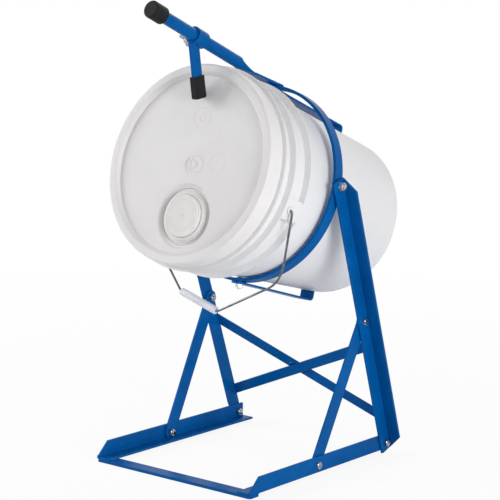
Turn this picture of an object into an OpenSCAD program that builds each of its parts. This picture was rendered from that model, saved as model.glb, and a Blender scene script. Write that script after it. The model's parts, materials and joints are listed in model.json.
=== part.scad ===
// Pail tipper: a welded and bolted angle-steel stand carries a rolled ring on two pivot bolts.
// The ring holds a lidded plastic pail, which a sliding hook clamps from a long tube handle.
// Millimetres, +Z up. The stand rests on z = 0 and the lid faces -Y.
// Cradle pieces are drawn about the pivot: "ahead" is along the pail axis towards the lid.

/* [Stand] */
// Width over the outer faces of the two floor rails
base_w = 311; // [280:1:360]
// Length of a floor rail, front to back
rail_len = 367; // [330:1:450]
// Width of each leg of the steel angle
leg = 25.4; // [20:0.1:32]
// Thickness of the steel angle
leg_t = 3.2; // [2.5:0.1:4.5]
// Depth of the flat front bar
front_bar_d = 24; // [16:1:40]
// Thickness of the flat front bar
front_bar_t = 4.8; // [3:0.1:8]
// How far the slanted front end of a rail is set back at its top
rail_nose = 23; // [10:1:40]
// Angle by which the uprights lean forward from plumb
lean = 19.5; // [12:0.5:24]
// Distance of the upright heel from the front edge, measured on the floor
heel_y = 371.5; // [340:0.5:440]
// Distance from the upright heel to the line of its bolt holes
gauge = 10.6; // [9.8:0.1:14]
// Height of the pivot above the floor
pivot_z = 450; // [420:1:520]
// Length of an upright past the pivot, along its lean
upright_top = 19; // [14:1:30]
// Height of the bolts that join rails to braces and uprights
rail_bolt_z = 16; // [15:0.5:20]
// Distance of the lower brace bolt from the front edge
brace_y = 170; // [140:1:220]
// Height of the upper brace bolt
brace_z = 229; // [190:1:280]
// Width of a brace
brace_w = 24; // [18:0.1:28]
// Thickness of a brace
brace_t = 3.2; // [2:0.1:5]
// Width of a cross bar
cross_w = 17; // [14:0.5:25]
// Thickness of a cross bar
cross_t = 3.2; // [2:0.1:5]
// Height at which the two cross bars cross
cross_z = 124; // [100:1:150]
// Rise of a cross bar from its middle to one end
cross_rise = 64; // [40:1:80]

/* [Ring and arms] */
// Angle of the pail axis above level, as it stands
tilt = 17; // [5:1:30]
// Outside radius of the rolled ring
ring_r = 159; // [157:0.5:166]
// Thickness of the ring strip
ring_t = 4.8; // [3:0.1:5.2]
// Width of the ring strip
ring_w = 19; // [16:0.5:26]
// Distance of the ring centre below the pivot line
ring_drop = 7.5; // [3:0.5:12]
// Width of an arm
arm_w = 25.4; // [18:0.1:32]
// Thickness of an arm
arm_t = 3.2; // [2:0.1:5]
// Distance of the bent tab behind the ring middle
tab_back = 187; // [150:1:205]
// Inward slope of the top arm
top_arm_slope = 3.5; // [0:0.1:5]
// Inward slope of the lower arm
low_arm_slope = 1.5; // [0:0.1:5]
// How far the lower arm is set to the right
low_arm_x = 8; // [0:0.5:12]

/* [Handle and hook] */
// Outside diameter of the handle tube
tube_d = 19; // [16:0.5:22]
// Wall of the handle tube
tube_wall = 1.8; // [1.2:0.1:2.4]
// Length of the handle from the ring bolt to its end
handle_len = 319; // [285:1:400]
// Outward slope of the handle
handle_slope = 4.7; // [2:0.1:7]
// Width of the flattened tongue of the handle
tongue_w = 27; // [24:0.5:30]
// Length of the tongue ahead of the ring bolt
tongue_len = 70; // [50:1:80]
// Length over which the tube is flattened
crush_len = 32; // [26:1:50]
// Length of the grip cap
cap_len = 28; // [24:1:60]
// Diameter of the grip cap at its open end
cap_d = 27; // [25:0.5:32]
// Outside diameter of the sliding collar
collar_d = 26.7; // [25:0.1:32]
// Length of the sliding collar
collar_len = 25; // [22:1:40]
// Distance from the ring bolt to the collar middle, along the handle
collar_at = 207; // [196:1:214]
// Width of the flat hook arm
hook_w = 19; // [14:0.5:24]
// Thickness of the flat hook arm
hook_t = 4.8; // [3:0.1:7]
// Angle between the hook arm and a line square to the handle
hook_angle = 31.5; // [26:0.5:36]
// How far the hook line is ahead of the collar middle
hook_ahead = 13; // [8:0.5:15]
// Wall of the rubber tip on the hook
tip_wall = 2.2; // [1.2:0.1:3]
// Length of the rubber tip
tip_len = 34; // [24:1:45]
// Span of the wings of the thumb screw
wing_span = 26; // [18:1:34]

/* [Pail] */
// Radius of the lid rim
lid_r = 155.5; // [153:0.5:157]
// Distance of the lid face ahead of the ring middle
lid_ahead = 173.5; // [168:0.5:180]
// Depth of the lid panel below its rim
panel_depth = 7.5; // [7:0.5:12]
// Inside radius of the lid rim
rim_r = 141; // [132:0.5:143]
// Height of the lid skirt
skirt_h = 31; // [24:1:34]
// Height of the pail from its floor to the lid face
pail_h = 400; // [370:1:420]
// Radius of the pail body where the ring holds it
body_r = 143.6; // [138:0.1:144.6]
// Taper of the pail body from side to axis
body_taper = 3.3; // [1.5:0.1:3.4]
// Wall of the pail
pail_wall = 2.4; // [1.6:0.1:3.5]
// Turn of the pail in its ring, which sets the height of the bail ears
pail_turn = 16; // [0:1:25]
// Outside radius of the front flange, behind the lid
flange_1_r = 160.5; // [156:0.5:161]
// Outside radius of the middle flange
flange_2_r = 158; // [154:0.5:160]
// Outside radius of the rear flange
flange_3_r = 158.5; // [154:0.5:160]
// Distance of the middle flange ahead of the ring middle
flange_2_at = 112; // [108:0.5:116]
// Distance of the rear flange ahead of the ring middle
flange_3_at = 73; // [68:0.5:80]
// Distance of the bail ears ahead of the ring middle
ear_ahead = 98.5; // [94:0.5:102]
// Diameter of the bail wire
wire_d = 3.4; // [2.6:0.1:4]
// Length of the straight legs of the bail
bail_leg = 86; // [86:1:100]
// Radius of the bend below each leg of the bail
bail_bow = 66; // [50:1:85]
// Angle through which that bend turns
bow_turn = 50; // [40:1:60]
// Radius of the bend beside the grip
bail_bend = 10; // [6:1:16]
// Length of the bail grip
grip_len = 80; // [60:1:90]
// Diameter of the bail grip
grip_d = 12.5; // [10:0.5:18]
// Turn of the lid on the pail, seen from the front, clockwise
lid_turn = 6; // [0:1:30]
// Distance of the spout middle from the lid middle
spout_off = 80; // [78:0.5:84]
// Radius of the recess round the spout, at the face of the lid
recess_r = 50.5; // [47:0.5:54]
// Depth of the recess round the spout
recess_depth = 5; // [3:0.1:6]
// Radius of the spout cap
spout_r = 33; // [28:0.5:36]

/* [Hardware] */
// Shank diameter of the bolts
bolt_d = 6.3; // [5:0.1:7]
// Width of a bolt head or nut across its flats
hex_af = 11.1; // [10:0.1:12]
// Height of a bolt head
head_h = 4.2; // [3:0.1:6]
// Height of a nut
nut_h = 5.6; // [4:0.1:7]
// Shank diameter of the pivot bolts
pivot_d = 7.9; // [6:0.1:9]
// Width of a pivot nut across its flats
pivot_af = 12.7; // [12:0.1:13.5]
// Thickness of a washer
washer_t = 1.6; // [1:0.1:2.2]

/* [Hidden] */
$fn = 96;
PAINT = "royalblue";
ZINC = "silver";
BLACK = "#262829";
WHITE = "#e4e4e6";

fit = 0.05;
seat = 0.3;
weld = 0.05;
cut = 40;
half_w = base_w / 2;
rail_z = front_bar_t;
rail_fillet = 1;
edge_r = 1.2;
bolt_hole = bolt_d + 0.4;
pivot_y = heel_y - pivot_z * tan(lean) - gauge / cos(lean);
// The uprights lean apart a little, so that the ring and its washers fit between them
pivot_gap = 0.3;
splay_half = ring_r + pivot_gap + washer_t + pivot_gap;
splay = atan((splay_half - half_w - weld) / pivot_z);
foot_flat = 1;
foot_start = (leg * sin(lean) - foot_flat) / cos(lean);
upright_len = (pivot_z - gauge * sin(lean)) / cos(lean) + upright_top;

function gauge_y(z) = heel_y - z * tan(lean) - gauge / cos(lean);
function inner_x(z) = half_w + weld + z * tan(splay);

C_POINT = [gauge_y(rail_bolt_z), rail_bolt_z];
D_POINT = [gauge_y(brace_z), brace_z];
B_POINT = [brace_y, rail_bolt_z];

// Places the stand, which is drawn with its front edge at y = 0
module stand() {
    translate([0, -origin_y, 0]) children();
}

// Copies a right-hand piece to the left side
module both() {
    children();
    mirror([1, 0, 0]) children();
}

// Section of a steel angle, heel at the origin, legs along +X and +Y
module angle_section(w, t) {
    difference() {
        union() {
            square([w, t]);
            square([t, w]);
            difference() {
                translate([t - 0.01, t - 0.01]) square(rail_fillet + 0.01);
                translate([t + rail_fillet, t + rail_fillet]) circle(rail_fillet, $fn = 32);
            }
        }
        toe_round(w, t);
        mirror([1, -1]) toe_round(w, t);
    }
}

// Cuts the inner corner of one leg's edge round
module toe_round(w, t) {
    difference() {
        translate([w - edge_r, t - edge_r]) square(edge_r + 1);
        translate([w - edge_r, t - edge_r]) circle(edge_r, $fn = 24);
    }
}

// A hexagonal head or nut, z = 0 at its seat, with a rounded-off outer rim
module hex(h, af = hex_af) {
    corner = af / sqrt(3);
    intersection() {
        cylinder(h = h, r = corner, $fn = 6);
        rotate_extrude() polygon([[0, 0], [corner, 0], [corner, h - 0.9], [af / 2 - 0.2, h], [0, h]]);
    }
}

// A bolt along +Z: head below z = 0, shank of length l above
module bolt(l, d = bolt_d) {
    mirror([0, 0, 1]) hex(head_h);
    translate([0, 0, -0.01]) cylinder(h = l + 0.01 - 0.6, d = d);
    translate([0, 0, l - 0.61]) cylinder(h = 0.61, d1 = d, d2 = d - 1.2);
}

module nut(d = bolt_d) {
    difference() {
        hex(nut_h);
        translate([0, 0, -1]) cylinder(h = nut_h + 2, d = d + 2 * fit);
    }
}

module washer(d, od) {
    difference() {
        cylinder(h = washer_t, d = od);
        translate([0, 0, -1]) cylinder(h = washer_t + 2, d = d);
    }
}

// Stand

module rail() {
    difference() {
        translate([half_w, 0, rail_z]) rotate([-90, 0, 0]) rotate([0, 0, 180])
            linear_extrude(rail_len) angle_section(leg, leg_t);
        rail_cuts();
    }
}

module rail_cuts() {
    // Slanted front end of the upright leg, with a rounded lower corner
    translate([half_w - leg_t - 1, 0, rail_z + leg_t + 2]) rotate([90, 0, 90]) linear_extrude(leg_t + 2)
        polygon([[-5, 0], [2, 0], [rail_nose, leg - leg_t - 2 + 0.01], [rail_nose, leg], [-5, leg]]);
    for (p = [B_POINT, C_POINT])
        translate([half_w - 2 * leg_t, p[0], p[1]]) rotate([0, 90, 0]) cylinder(h = 3 * leg_t, d = bolt_hole);
}

module left_rail() {
    color(PAINT) stand() mirror([1, 0, 0]) rail();
}

module right_rail() {
    color(PAINT) stand() rail();
}

// Flat bar under the rail noses, its ends cut back in a hollow where they are welded
module front_bar() {
    color(PAINT) stand() difference() {
        translate([-half_w, 0, 0]) cube([base_w, front_bar_d, front_bar_t - weld]);
        both() translate([half_w + 3, front_bar_d + 3, -1]) cylinder(h = front_bar_t + 2, r = 7);
        both() translate([half_w, 0, -1]) rotate([0, 0, 45]) cube([4, 4, 20], center = true);
    }
}

// Places the frame of the right upright: heel line along local Z, toe towards local -Y
module upright_frame() {
    translate([half_w + weld, heel_y, 0]) rotate([0, splay, 0]) rotate([lean, 0, 0]) children();
}

module upright() {
    difference() {
        upright_frame() difference() {
            translate([0, 0, foot_start]) linear_extrude(upright_len - foot_start)
                mirror([0, 1]) angle_section(leg, leg_t);
            // Both ends of the outward leg are cut off at 45 degrees
            translate([leg_t + 0.5, -leg_t - 5, foot_start]) rotate([0, -45, 0])
                translate([0, 0, -cut]) cube([leg * 2, leg_t + 10, cut]);
            translate([leg_t + 0.5, -leg_t - 5, upright_len]) rotate([0, 45, 0])
                cube([leg * 2, leg_t + 10, cut]);
            // The toe is cut back at the top
            translate([-1, -leg, upright_len]) rotate([45, 0, 0]) cube([leg_t + 2, 9, 9], center = true);
        }
        translate([0, 0, -cut]) cube([base_w, heel_y * 2, cut]);
        // Holes through the leg that lies fore and aft
        for (p = [C_POINT, D_POINT])
            translate([inner_x(p[1]) - leg_t, p[0], p[1]]) rotate([0, 90, 0]) cylinder(h = 3 * leg_t, d = bolt_hole);
        translate([inner_x(pivot_z) - leg_t, pivot_y, pivot_z]) rotate([0, 90, 0])
            cylinder(h = 3 * leg_t, d = pivot_d + 2 * fit);
    }
}

module left_upright() {
    color(PAINT) stand() mirror([1, 0, 0]) upright();
}

module right_upright() {
    color(PAINT) stand() upright();
}

brace_gap = 0.5;
brace_foot = [half_w - leg_t - brace_gap, B_POINT[0], B_POINT[1]];
brace_head = [inner_x(D_POINT[1]) - brace_gap, D_POINT[0], D_POINT[1]];
brace_run = norm([brace_head[1] - brace_foot[1], brace_head[2] - brace_foot[2]]);
brace_dir = atan2(brace_head[2] - brace_foot[2], brace_head[1] - brace_foot[1]);
brace_flare = atan((brace_head[0] - brace_foot[0]) / brace_run);

// Flat bar with round ends, from the rail bolt to the upper bolt of the upright, cut level above the rail's lying leg
module brace() {
    difference() {
        translate(brace_foot) rotate([brace_dir, 0, 0]) rotate([0, 0, -brace_flare])
            rotate([0, -90, 0]) linear_extrude(brace_t) {
                translate([-brace_w / 2, 0]) square([brace_w, brace_run]);
                circle(d = brace_w);
                translate([0, brace_run]) circle(d = brace_w);
            }
        translate([0, 0, rail_z + leg_t + seat - cut]) cube([base_w, rail_len, cut]);
        for (p = [B_POINT, D_POINT])
            translate([half_w - cut, p[0], p[1]]) rotate([0, 90, 0]) cylinder(h = 2 * cut, d = bolt_hole);
    }
}

module left_brace() {
    color(PAINT) stand() mirror([1, 0, 0]) brace();
}

module right_brace() {
    color(PAINT) stand() brace();
}

// Flat bar across the stand in the plane of the heels, rising to the right, its ends cut to fit
module cross_bar(depth) {
    mid = [0, heel_y - cross_z * tan(lean), cross_z];
    rise = atan(cross_rise / cos(lean) / half_w);
    difference() {
        translate(mid) rotate([lean, 0, 0]) translate([0, -depth - cross_t, 0]) rotate([0, -rise, 0])
            translate([-base_w, 0, -cross_w / 2]) cube([base_w * 2, cross_t, cross_w]);
        both() translate([half_w, heel_y, 0]) rotate([0, splay, 0]) rotate([lean, 0, 0])
            translate([0, -cut, -cut]) cube([base_w, cut * 2, upright_len]);
    }
}

module cross_bar_front() {
    color(PAINT) stand() cross_bar(cross_t + 0.01);
}

module cross_bar_rear() {
    color(PAINT) stand() mirror([1, 0, 0]) cross_bar(0);
}

// Each joint: where the bolt head seats, where the nut seats, and the point in the side view
JOINTS = [
    [half_w + 0.02, half_w - leg_t - brace_gap - brace_t - 0.45, B_POINT],
    [inner_x(rail_bolt_z) + leg_t + 0.15, half_w - leg_t - 0.05, C_POINT],
    [inner_x(brace_z) + leg_t + 0.15, inner_x(brace_z) - brace_gap - brace_t - 0.45, D_POINT]];
bolt_end = 2.2;

module frame_bolts() {
    color(ZINC) stand() both() for (j = JOINTS)
        translate([j[0], j[2][0], j[2][1]]) rotate([0, -90, 0]) bolt(j[0] - j[1] + nut_h + bolt_end);
}

module frame_nuts() {
    color(ZINC) stand() both() for (j = JOINTS)
        translate([j[1], j[2][0], j[2][1]]) rotate([0, -90, 0]) nut();
}

// Pivot, from the inside: bolt head, ring, washer, upright, washer, nut
ring_in = ring_r - ring_t;
pivot_head_x = sqrt(pow(ring_in, 2) - pow(ring_drop + hex_af * 0.65, 2)) - 0.2;
pivot_nut_x = inner_x(pivot_z) + leg_t + 0.35;
// A washer clears the inside of the angle it lies in
washer_od = 2 * (gauge - leg_t - 0.4);

module pivot_bolts() {
    color(ZINC) stand() both() translate([pivot_head_x, pivot_y, pivot_z]) rotate([0, 90, 0])
        bolt(pivot_nut_x + washer_t + nut_h + bolt_end - pivot_head_x, pivot_d);
}

module pivot_washers() {
    color(ZINC) stand() both() for (x = [ring_r + pivot_gap, pivot_nut_x])
        translate([x, pivot_y, pivot_z]) rotate([0, 90, 0]) washer(pivot_d + 4 * fit, washer_od);
}

module pivot_nuts() {
    color(ZINC) stand() both() translate([pivot_nut_x + washer_t + 0.02, pivot_y, pivot_z]) rotate([0, 90, 0])
        difference() {
            hex(nut_h, pivot_af);
            translate([0, 0, -1]) cylinder(h = nut_h + 2, d = pivot_d + 2 * fit);
        }
}

// Cradle: local -Y points ahead along the pail axis, local Z is square to it

module cradle() {
    stand() translate([0, pivot_y, pivot_z]) rotate([-tilt, 0, 0]) children();
}

// Local Z of the children points ahead, on an axis a given distance below the pivot line
module ahead(drop = 0) {
    translate([0, 0, -drop]) rotate([90, 0, 0]) children();
}

module ring() {
    color(PAINT) cradle() difference() {
        ahead(ring_drop) translate([0, 0, -ring_w / 2]) difference() {
            cylinder(h = ring_w, r = ring_r, $fn = 180);
            translate([0, 0, -1]) cylinder(h = ring_w + 2, r = ring_in, $fn = 180);
        }
        translate([-ring_r - 5, 0, 0]) rotate([0, 90, 0]) cylinder(h = 20, d = pivot_d + 2 * fit);
        translate([ring_r - 15, 0, 0]) rotate([0, 90, 0]) cylinder(h = 20, d = pivot_d + 2 * fit);
        translate([0, 0, ring_r - ring_drop - 15]) cylinder(h = 20, d = bolt_hole);
        translate([low_arm_x, 0, -ring_r - ring_drop - 5]) cylinder(h = 20, d = bolt_hole);
    }
}

ring_top = ring_r - ring_drop;
ring_low = -ring_r - ring_drop;
// Each arm slopes, so it meets the ring at one edge of the strip, and its nut at one corner
top_arm_z = ring_top - ring_t - sagitta(ring_in, arm_w / 2) - ring_w / 2 * tan(top_arm_slope) - fit;
low_arm_z = ring_low - ring_w / 2 * tan(low_arm_slope) - fit;
nut_corner = hex_af / sqrt(3);
top_nut_z = top_arm_z - arm_t / cos(top_arm_slope) - nut_corner * tan(top_arm_slope) - fit;
low_nut_z = low_arm_z - arm_t / cos(low_arm_slope) - nut_corner * tan(low_arm_slope) - fit;
bend_r = 4;
// Overlap of lengths that meet end to end, and the step that hides it
lap = 0.3;
step = 0.02;
pail_drop = 15;

// How far a chord of half width w lies inside a circle of radius r
function sagitta(r, w) = r - sqrt(r * r - w * w);
// Growth of the pail radius at a distance ahead of the ring middle
function slope_r(a) = a * tan(body_taper);

// Flat arm: outer face at z = 0 at the ring bolt, a round end ahead, a bent tab behind
module arm(slope, tab) {
    rotate([-slope, 0, 0]) difference() {
        intersection() {
            translate([0, 0, -arm_w - tab]) linear_extrude(arm_w + tab + 1) {
                circle(d = arm_w);
                translate([-arm_w / 2, 0]) square([arm_w, tab_back + 1]);
            }
            rotate([90, 0, 90]) translate([0, 0, -arm_w]) linear_extrude(2 * arm_w) {
                translate([-arm_w, -arm_t]) square([arm_w + tab_back - bend_r - arm_t, arm_t]);
                translate([tab_back - bend_r - arm_t, -bend_r - arm_t]) difference() {
                    intersection() {
                        circle(bend_r + arm_t, $fn = 48);
                        square(bend_r + arm_t);
                    }
                    circle(bend_r, $fn = 48);
                }
                translate([tab_back - arm_t + step, -tab])
                    square([arm_t - 2 * step, tab - bend_r - arm_t + lap]);
            }
        }
        translate([0, 0, -arm_t - 1]) cylinder(h = arm_t + 2, d = bolt_hole);
    }
}

// Radius of the pail body at a distance ahead of the ring middle
function pail_r(a) = body_r + slope_r(a);
// Length of the tab that just reaches the pail, from the arm's outer face
function tab_reach(z, slope) = z - tab_back * sin(slope) - pail_r(-tab_back * cos(slope)) - seat;
top_tab = (tab_reach(top_arm_z + pail_drop, top_arm_slope)) / cos(top_arm_slope);
low_tab = (tab_reach(-(low_arm_z - arm_t) - pail_drop, low_arm_slope)) / cos(low_arm_slope);

module top_arm() {
    color(PAINT) cradle() translate([0, 0, top_arm_z]) arm(top_arm_slope, top_tab);
}

module lower_arm() {
    color(PAINT) cradle() translate([low_arm_x, 0, 0]) mirror([0, 0, 1])
        translate([0, 0, -low_arm_z + arm_t]) arm(low_arm_slope, low_tab);
}

// Handle: a round tube, crushed flat at its root into a tongue that is bolted on the ring

cap_round = 2.5;
cap_wall = 3;
tongue_t = 2 * tube_wall;
tongue_z = ring_top + fit;
crush_end = tongue_len + crush_len;
tube_z = tongue_z + tube_d / 2 + 1;
crush_steps = 12;
crush_sides = 32;

// Local Y is turned so that -Y runs along the tube, from the end of the crushed length
module handle_frame() {
    translate([0, -crush_end, tube_z]) rotate([-handle_slope, 0, 0]) children();
}

// One section of the crushed length: x and z of a side, for a share s of the way to the tube
function crush_point(s, i) =
    let (k = s * s, w = tongue_w - 0.2 + (tube_d - tongue_w) * k, h = tongue_t - 0.2 + (tube_d - tongue_t) * k)
    let (c = cos(i * 360 / crush_sides), f = (w - h) / 2 * sign(c) * min(1, abs(c) * 3))
    [f + h / 2 * c, -(tongue_len - 2) - s * (crush_len + 4), tongue_z + 0.1 + h / 2 + s * 0.9
        + h / 2 * sin(i * 360 / crush_sides)];

module crush() {
    points = [for (j = [0:crush_steps]) for (i = [0:crush_sides - 1]) crush_point(j / crush_steps, i)];
    sides = [for (j = [0:crush_steps - 1]) for (i = [0:crush_sides - 1]) let (k = (i + 1) % crush_sides)
        for (f = [[2, 1, 0], [3, 2, 0]]) let (q = [j * crush_sides + i, j * crush_sides + k,
            (j + 1) * crush_sides + k, (j + 1) * crush_sides + i]) [q[f[0]], q[f[1]], q[f[2]]]];
    polyhedron(points, concat([[for (i = [0:crush_sides - 1]) i]], sides,
        [[for (i = [crush_sides - 1:-1:0]) crush_steps * crush_sides + i]]));
}

module handle_tube() {
    color(PAINT) cradle() difference() {
        union() {
            translate([-tongue_w / 2, -tongue_len, tongue_z]) cube([tongue_w, tongue_len, tongue_t]);
            translate([0, 0, tongue_z]) cylinder(h = tongue_t, d = tongue_w);
            crush();
            handle_frame() rotate([90, 0, 0]) cylinder(h = handle_len - crush_end, d = tube_d);
        }
        handle_frame() rotate([90, 0, 0]) translate([0, 0, 6])
            cylinder(h = handle_len, d = tube_d - 2 * tube_wall);
        translate([0, 0, tongue_z - 5]) cylinder(h = 15, d = bolt_hole);
    }
}

// Moulded cap over the end of the tube, with rounded rims
module grip_cap() {
    r = cap_d / 2;
    color(BLACK) cradle() handle_frame() rotate([90, 0, 0])
        translate([0, 0, handle_len - crush_end - cap_len + cap_wall]) difference() {
            rotate_extrude() {
                polygon([[0, 0], [r - 1, 0], [r, 1], [r, cap_len - cap_round], [r - cap_round, cap_len], [0, cap_len]]);
                translate([r - cap_round, cap_len - cap_round]) circle(cap_round, $fn = 48);
            }
            translate([0, 0, -1]) cylinder(h = cap_len - cap_wall + 1.2, d = tube_d + 2 * fit);
        }
}

// The lower bolt has a low round head inside the ring, on which the pail rests
low_head_r = 6.5;
low_head_z = -ring_drop - sqrt(pow(ring_in, 2) - pow(low_arm_x + low_head_r, 2)) + fit;
low_head_top = -pail_drop - sqrt(pow(body_r, 2) - pow(low_arm_x, 2)) - seat;
low_bolt_end = low_nut_z - nut_h - bolt_end;
top_bolt_z = tongue_z + tongue_t + 0.02;

// Part of a ball, flat below, of height h over a circle of radius r
module dome(h, r) {
    ball = (r * r + h * h) / (2 * h);
    rotate_extrude() intersection() {
        translate([0, h - ball]) circle(ball, $fn = 96);
        square([r, h]);
    }
}

module ring_bolts() {
    color(ZINC) cradle() {
        translate([0, 0, top_bolt_z]) mirror([0, 0, 1]) bolt(top_bolt_z - top_nut_z + nut_h + bolt_end);
        translate([low_arm_x, 0, low_bolt_end])
            cylinder(h = low_head_z - low_bolt_end + 0.5, d = bolt_d);
        translate([low_arm_x, 0, low_head_z]) dome(low_head_top - low_head_z, low_head_r);
    }
}

module ring_nuts() {
    color(ZINC) cradle() {
        translate([0, 0, top_nut_z]) mirror([0, 0, 1]) nut();
        translate([low_arm_x, 0, low_nut_z]) mirror([0, 0, 1]) nut();
    }
}

// Clamp: collar, hook arm and rubber tip slide together along the handle

// Origin on the tube axis at the collar middle, local -Y ahead along the tube
module clamp() {
    cradle() handle_frame() translate([0, crush_end - collar_at, 0]) children();
}

wing_dip = 12;
wing_turn = 23;

module clamp_collar() {
    color(PAINT) clamp() difference() {
        rotate([90, 0, 0]) translate([0, 0, -collar_len / 2]) cylinder(h = collar_len, d = collar_d);
        rotate([90, 0, 0]) translate([0, 0, -collar_len / 2 - 1])
            cylinder(h = collar_len + 2, d = tube_d + 4 * fit);
        rotate([0, -90 - wing_dip, 0]) cylinder(h = collar_d, d = bolt_d + 2 * fit);
    }
}

tip_r = 3;
tip_w = hook_w + 2 * tip_wall;
// Where the hook line crosses the tube axis, ahead of the ring middle
hook_root = crush_end + (collar_at + hook_ahead - crush_end) * cos(handle_slope);
hook_lean = hook_angle - handle_slope;
// Length from the tube axis to the end of the rubber tip, which just reaches the lid panel
hook_len = tip_r + (hook_root - (lid_ahead - panel_depth + seat) - tip_r - (tip_w / 2 - tip_r) * cos(hook_lean))
    / sin(hook_lean);

// More than the hook arm takes up along the tube
hook_span = hook_ahead + hook_w + collar_d;

// Local -Z runs down the hook arm
module hook_frame() {
    clamp() translate([0, -hook_ahead, 0]) rotate([hook_angle, 0, 0]) children();
}

module hook_arm() {
    color(PAINT) difference() {
        hook_frame() translate([-hook_t / 2, -hook_w / 2, -hook_len + tip_wall + 1])
            cube([hook_t, hook_w, hook_len - tip_wall - 1]);
        clamp() rotate([90, 0, 0]) translate([0, 0, -hook_span]) cylinder(h = 2 * hook_span, d = collar_d + 2 * weld);
    }
}

module hook_tip() {
    w = tip_w;
    t = hook_t + 2 * tip_wall;
    r = tip_r;
    color(BLACK) hook_frame() difference() {
        translate([-t / 2, 0, 0]) rotate([90, 0, 90]) linear_extrude(t) {
            translate([-w / 2, -hook_len + r]) square([w, tip_len - r]);
            translate([-w / 2 + r, -hook_len]) square([w - 2 * r, r + 0.01]);
            for (s = [-1, 1]) translate([s * (w / 2 - r), -hook_len + r]) circle(r, $fn = 32);
        }
        translate([-hook_t / 2 - fit, -hook_w / 2 - fit, -hook_len + tip_wall + 1 - fit])
            cube([hook_t + 2 * fit, hook_w + 2 * fit, hook_len]);
    }
}

// Thumb screw through the side of the collar, with two wings
module wing_screw() {
    tip = tube_d / 2 + seat;
    hub = collar_d / 2 + 4;
    color(ZINC) clamp() rotate([0, -90 - wing_dip, 0]) {
        translate([0, 0, tip]) cylinder(h = hub - tip + 1, d = bolt_d);
        translate([0, 0, hub]) cylinder(h = 7, d = 9);
        translate([0, 0, hub + 7 - 0.01]) cylinder(h = 1.2, d1 = 9, d2 = 6);
        rotate([0, 0, wing_turn]) translate([-1.2, 0, hub + 1]) rotate([90, 0, 90]) linear_extrude(2.4)
            for (s = [-1, 1]) {
                translate([s * (wing_span / 2 - 4), 6]) circle(4, $fn = 48);
                polygon([[0, 0], [s * (wing_span / 2 - 5.5), 2.4], [s * (wing_span / 2 - 4), 9.9], [0, 5.6]]);
            }
    }
}

// Pail: local Z ahead along its axis, z = 0 level with the ring middle

module pail(turn = 0) {
    cradle() ahead(pail_drop) rotate([0, 0, turn]) children();
}

pail_floor = lid_ahead - pail_h;
pail_floor_r = pail_r(pail_floor);
skirt_end = lid_ahead - skirt_h;
lid_wall = 2.2;
recess_draft = 3;
rim_round = 4;
gasket_t = 1.8;
mouth = lid_ahead - lid_wall - gasket_t - 2 * weld;
floor_r = 10;

// The origin is on the floor, below the middle of the whole length as it stands
tube_rise = tilt + handle_slope;
cap_front = handle_len - crush_end + cap_wall - cap_round;
front_y = pivot_y - crush_end * cos(tilt) + tube_z * sin(tilt) - cap_front * cos(tube_rise)
    - (cap_d / 2 - cap_round) * sin(tube_rise) - cap_round;
back_y = pivot_y - (pail_floor + floor_r) * cos(tilt) + (pail_floor_r - floor_r - pail_drop) * sin(tilt) + floor_r;
origin_y = (front_y + back_y) / 2;

flange_1_at = skirt_end - 2.2;
wall_r = pail_r(flange_3_at);
// The mouth stands in the groove of the lid, clear of its inner wall
mouth_gap = 4.1;
mouth_r = rim_r + pail_wall + mouth_gap;
bead_r = mouth_r + 0.8;

// Section of a flange round the pail, thicker at its root
module flange(at, r) {
    polygon([[wall_r - 2, at - 2], [r, at - 1], [r, at + 1], [wall_r - 2, at + 2]]);
}

// Half section of the body: outside up, mouth, inside down
module pail_section() {
    bottom_r = pail_floor_r;
    difference() {
        union() {
            polygon([[0, pail_floor], [bottom_r - floor_r, pail_floor], [pail_r(pail_floor + floor_r), pail_floor + floor_r],
                [wall_r, flange_3_at], [mouth_r, mouth], [0, mouth]]);
            translate([bottom_r - floor_r, pail_floor + floor_r]) circle(floor_r, $fn = 64);
            flange(flange_1_at, flange_1_r);
            flange(flange_2_at, flange_2_r);
        }
        polygon([[-1, pail_floor + pail_wall], [bottom_r - floor_r, pail_floor + pail_wall],
            [pail_r(pail_floor + floor_r) - pail_wall, pail_floor + floor_r], [wall_r - pail_wall, flange_3_at],
            [mouth_r - pail_wall, mouth + 1], [-1, mouth + 1]]);
    }
}

// The legs of the bail swing past the front flange
leg_gap = 2.5;
leg_r = flange_1_r + leg_gap;
bail_elbow = 4;
// The ear's boss ends where the wire starts to bend
ear_r = leg_r - bail_elbow;
pad_r = flange_2_r - 1.5;
pad_turn = 12;
bore_r = pad_r - 6;
// The straight lengths of the wire are a little thicker than its bends, and the length in the grip more so
straight_d = wire_d + 0.1;

// A pad joins the middle and rear flanges at each ear, with a boss that takes the end of the wire
module ear() {
    difference() {
        union() {
            translate([pad_r - 3, 0, ear_ahead]) rotate([0, 90, 0]) cylinder(h = ear_r - pad_r + 3, d = 12);
            rotate([0, 0, -pad_turn / 2]) rotate_extrude(angle = pad_turn, $fn = 180)
                polygon([[wall_r - 2, flange_3_at - 3.5], [pad_r - 1, flange_3_at - 1.5], [pad_r, flange_3_at],
                    [pad_r, flange_2_at], [wall_r - 2, flange_2_at]]);
        }
        translate([bore_r, 0, ear_ahead]) rotate([0, 90, 0]) cylinder(h = 20, d = straight_d + 2 * fit);
    }
}

module pail_body() {
    color(WHITE) pail(-pail_turn) {
        rotate_extrude($fn = 144) pail_section();
        // The rear flange stops at each ear
        for (s = [0, 180]) rotate([0, 0, s + pad_turn / 2 - 1]) rotate_extrude(angle = 180 - pad_turn + 2, $fn = 144)
            flange(flange_3_at, flange_3_r);
        for (s = [0, 180]) rotate([0, 0, s]) ear();
    }
}

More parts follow.
